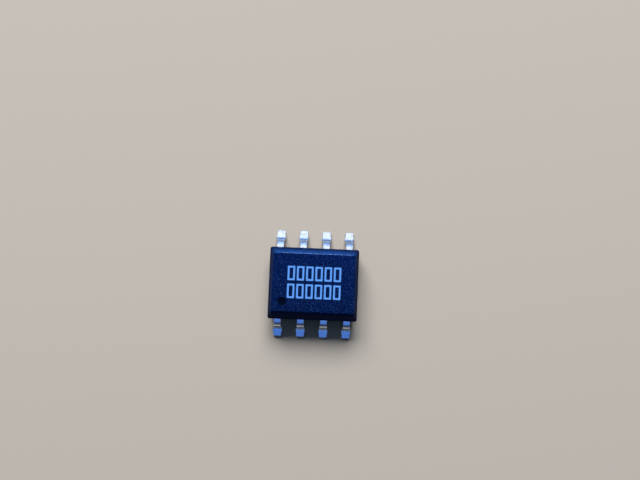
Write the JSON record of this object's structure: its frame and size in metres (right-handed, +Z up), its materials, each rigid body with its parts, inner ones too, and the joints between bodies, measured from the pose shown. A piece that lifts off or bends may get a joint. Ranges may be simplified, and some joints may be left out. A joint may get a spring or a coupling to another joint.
{
  "type": "mosfet transistor",
  "caption": "Power MOSFET in a small-outline surface-mount package: black moulded body with a pin-1 dimple, tinned gull-wing leads, and dies with bond wires inside.",
  "frame": {"origin": "middle of the seating plane, under the soles of the leads", "axes": "+X along the lead rows from pin 1 to pin 4, +Y across the rows towards pins 5 to 8, +Z up through the top face"},
  "size_m": [0.005, 0.006, 0.0016],
  "materials": {
    "moulding_compound": "fine matt black epoxy with a bluish cast",
    "tinned_copper": "matt tin plating over copper alloy",
    "silicon": "polished",
    "die_solder": "soft solder",
    "bond_wire": "drawn wire"
  },
  "bodies": {
    "root": {"package_body": "moulding_compound", "source_lead_1": "tinned_copper", "gate_lead_2": "tinned_copper", "source_lead_3": "tinned_copper", "gate_lead_4": "tinned_copper", "drain_frame_5_6": "tinned_copper", "drain_frame_7_8": "tinned_copper", "die_1": "silicon", "die_2": "silicon", "die_attach_1": "die_solder", "die_attach_2": "die_solder", "source_wire_1a": "bond_wire", "source_wire_1b": "bond_wire", "source_wire_1c": "bond_wire", "source_wire_2a": "bond_wire", "source_wire_2b": "bond_wire", "source_wire_2c": "bond_wire", "gate_wire_1": "bond_wire", "gate_wire_2": "bond_wire"}
  },
  "joints": []
}
